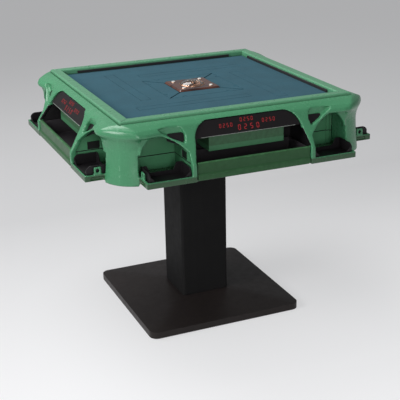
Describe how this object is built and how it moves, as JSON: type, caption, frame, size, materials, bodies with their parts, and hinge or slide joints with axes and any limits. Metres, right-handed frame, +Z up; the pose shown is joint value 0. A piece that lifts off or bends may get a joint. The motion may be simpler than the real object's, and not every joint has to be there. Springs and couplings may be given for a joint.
{
  "type": "mahjong table",
  "caption": "Square self-shuffling mahjong table on a pedestal, with arched sides, slide-out point-stick drawers, corner trays, tile lifts and a rising centre console.",
  "frame": {"origin": "on the floor, under the centre of the table", "axes": "+Z up, -Y out of the front side, +X to that player's right"},
  "size_m": [0.89, 0.89, 0.723],
  "materials": {
    "base_iron": "dark brown-black enamel, slightly glossy",
    "column_paint": "satin black powder coat",
    "bolt_steel": "zinc plated",
    "black_rubber": "matt black",
    "frame_green": "satin moulded green",
    "rim_green": "satin moulded yellow-green",
    "housing_green": "moulded green, duller",
    "panel_black": "dark display window",
    "tray_black": "moulded black",
    "mat_cloth": "blue-teal felt",
    "lift_cloth": "plastic plate covered in the mat's cloth",
    "board_wood": "plywood",
    "console_wood": "polished rosewood",
    "clear_dome": "clear",
    "dice_white": "white",
    "button_pale": "pale",
    "guide_alloy": "turned",
    "disc_plastic": "grey",
    "motor_paint": "grey"
  },
  "bodies": {
    "table": {"base_plate": "base_iron", "base_glides": "black_rubber", "base_column": "column_paint", "pedestal_bolts": "bolt_steel", "lower_tub": "housing_green", "upper_housing": "housing_green", "side_frame_front": "frame_green", "side_frame_right": "frame_green", "side_frame_back": "frame_green", "side_frame_left": "frame_green", "rim_rail_front": "rim_green", "rim_rail_right": "rim_green", "rim_rail_back": "rim_green", "rim_rail_left": "rim_green", "rim_bumpers": "black_rubber", "play_board": "board_wood", "playing_mat": "mat_cloth", "score_panel_front": "panel_black", "score_panel_right": "panel_black", "score_panel_back": "panel_black", "score_panel_left": "panel_black", "lift_guides": "guide_alloy", "centre_sleeve": "guide_alloy", "drum_wall": "disc_plastic", "drive_motor": "motor_paint", "control_box": "motor_paint", "power_inlet": "tray_black"},
    "drawer_front": {"drawer_tray_front": "tray_black", "drawer_front_front": "frame_green"},
    "drawer_right": {"drawer_tray_right": "tray_black", "drawer_front_right": "frame_green"},
    "drawer_back": {"drawer_tray_back": "tray_black", "drawer_front_back": "frame_green"},
    "drawer_left": {"drawer_tray_left": "tray_black", "drawer_front_left": "frame_green"},
    "corner_tray_front_left": {"corner_tray_front_left": "tray_black"},
    "corner_tray_front_right": {"corner_tray_front_right": "tray_black"},
    "corner_tray_right_left": {"corner_tray_right_left": "tray_black"},
    "corner_tray_right_right": {"corner_tray_right_right": "tray_black"},
    "corner_tray_back_left": {"corner_tray_back_left": "tray_black"},
    "corner_tray_back_right": {"corner_tray_back_right": "tray_black"},
    "corner_tray_left_left": {"corner_tray_left_left": "tray_black"},
    "corner_tray_left_right": {"corner_tray_left_right": "tray_black"},
    "tile_lift_front": {"tile_lift_front": "lift_cloth"},
    "tile_lift_right": {"tile_lift_right": "lift_cloth"},
    "tile_lift_back": {"tile_lift_back": "lift_cloth"},
    "tile_lift_left": {"tile_lift_left": "lift_cloth"},
    "console": {"console_housing": "console_wood", "dice_dome": "clear_dome", "dice_pair": "dice_white"},
    "dice_button_front_left": {"dice_button_front_left": "button_pale"},
    "dice_button_back_left": {"dice_button_back_left": "button_pale"},
    "dice_button_front_right": {"dice_button_front_right": "button_pale"},
    "dice_button_back_right": {"dice_button_back_right": "button_pale"},
    "centre_flap_front": {"centre_flap_front": "lift_cloth"},
    "centre_flap_right": {"centre_flap_right": "lift_cloth"},
    "centre_flap_back": {"centre_flap_back": "lift_cloth"},
    "centre_flap_left": {"centre_flap_left": "lift_cloth"},
    "shuffle_disc": {"shuffle_disc": "disc_plastic"},
    "drive_wheel": {"drive_wheel": "black_rubber"}
  },
  "joints": [
    {"name": "drawer_front_slide", "type": "slide", "parent": "table", "child": "drawer_front", "axis": [0, -1, 0], "range_m": [0, 0.09]},
    {"name": "drawer_right_slide", "type": "slide", "parent": "table", "child": "drawer_right", "axis": [1, 0, 0], "range_m": [0, 0.09]},
    {"name": "drawer_back_slide", "type": "slide", "parent": "table", "child": "drawer_back", "axis": [0, 1, 0], "range_m": [0, 0.09]},
    {"name": "drawer_left_slide", "type": "slide", "parent": "table", "child": "drawer_left", "axis": [-1, 0, 0], "range_m": [0, 0.09]},
    {"name": "corner_tray_front_left_lift", "type": "slide", "parent": "table", "child": "corner_tray_front_left", "axis": [0, 0, 1], "range_m": [0, 0.025]},
    {"name": "corner_tray_front_right_lift", "type": "slide", "parent": "table", "child": "corner_tray_front_right", "axis": [0, 0, 1], "range_m": [0, 0.025]},
    {"name": "corner_tray_right_left_lift", "type": "slide", "parent": "table", "child": "corner_tray_right_left", "axis": [0, 0, 1], "range_m": [0, 0.025]},
    {"name": "corner_tray_right_right_lift", "type": "slide", "parent": "table", "child": "corner_tray_right_right", "axis": [0, 0, 1], "range_m": [0, 0.025]},
    {"name": "corner_tray_back_left_lift", "type": "slide", "parent": "table", "child": "corner_tray_back_left", "axis": [0, 0, 1], "range_m": [0, 0.025]},
    {"name": "corner_tray_back_right_lift", "type": "slide", "parent": "table", "child": "corner_tray_back_right", "axis": [0, 0, 1], "range_m": [0, 0.025]},
    {"name": "corner_tray_left_left_lift", "type": "slide", "parent": "table", "child": "corner_tray_left_left", "axis": [0, 0, 1], "range_m": [0, 0.025]},
    {"name": "corner_tray_left_right_lift", "type": "slide", "parent": "table", "child": "corner_tray_left_right", "axis": [0, 0, 1], "range_m": [0, 0.025]},
    {"name": "tile_lift_front_slide", "type": "slide", "parent": "table", "child": "tile_lift_front", "axis": [0, 0, -1], "range_m": [0, 0.045]},
    {"name": "tile_lift_right_slide", "type": "slide", "parent": "table", "child": "tile_lift_right", "axis": [0, 0, -1], "range_m": [0, 0.045]},
    {"name": "tile_lift_back_slide", "type": "slide", "parent": "table", "child": "tile_lift_back", "axis": [0, 0, -1], "range_m": [0, 0.045]},
    {"name": "tile_lift_left_slide", "type": "slide", "parent": "table", "child": "tile_lift_left", "axis": [0, 0, -1], "range_m": [0, 0.045]},
    {"name": "console_lift", "type": "slide", "parent": "table", "child": "console", "axis": [0, 0, 1], "range_m": [0, 0.05]},
    {"name": "dice_button_front_left_press", "type": "slide", "parent": "console", "child": "dice_button_front_left", "axis": [0, 0, -1], "range_m": [0, 0.0015], "stiffness_N_per_m": 400, "springref_m": -0.0005},
    {"name": "dice_button_back_left_press", "type": "slide", "parent": "console", "child": "dice_button_back_left", "axis": [0, 0, -1], "range_m": [0, 0.0015], "stiffness_N_per_m": 400, "springref_m": -0.0005},
    {"name": "dice_button_front_right_press", "type": "slide", "parent": "console", "child": "dice_button_front_right", "axis": [0, 0, -1], "range_m": [0, 0.0015], "stiffness_N_per_m": 400, "springref_m": -0.0005},
    {"name": "dice_button_back_right_press", "type": "slide", "parent": "console", "child": "dice_button_back_right", "axis": [0, 0, -1], "range_m": [0, 0.0015], "stiffness_N_per_m": 400, "springref_m": -0.0005},
    {"name": "centre_flap_front_hinge", "type": "hinge", "parent": "table", "child": "centre_flap_front", "pos_m": [0, -0.115, 0.701], "axis": [-1, 0, 0], "range_deg": [0, 40.5]},
    {"name": "centre_flap_right_hinge", "type": "hinge", "parent": "table", "child": "centre_flap_right", "pos_m": [0.115, 0, 0.701], "axis": [0, -1, 0], "range_deg": [0, 40.5]},
    {"name": "centre_flap_back_hinge", "type": "hinge", "parent": "table", "child": "centre_flap_back", "pos_m": [0, 0.115, 0.701], "axis": [1, 0, 0], "range_deg": [0, 40.5]},
    {"name": "centre_flap_left_hinge", "type": "hinge", "parent": "table", "child": "centre_flap_left", "pos_m": [-0.115, 0, 0.701], "axis": [0, 1, 0], "range_deg": [0, 40.5]},
    {"name": "disc_spin", "type": "hinge", "parent": "table", "child": "shuffle_disc", "pos_m": [0, 0, 0.608], "axis": [0, 0, 1], "continuous": true},
    {"name": "drive_wheel_spin", "type": "hinge", "parent": "table", "child": "drive_wheel", "pos_m": [0.126, 0, 0.586], "axis": [1, 0, 0], "continuous": true}
  ],
  "couplings": [
    {"joint": "centre_flap_front_hinge", "follows": "console_lift", "rad_per_m": 13.963},
    {"joint": "centre_flap_right_hinge", "follows": "console_lift", "rad_per_m": 13.963},
    {"joint": "centre_flap_back_hinge", "follows": "console_lift", "rad_per_m": 13.963},
    {"joint": "centre_flap_left_hinge", "follows": "console_lift", "rad_per_m": 13.963},
    {"joint": "drive_wheel_spin", "follows": "disc_spin", "ratio": -6.3}
  ]
}
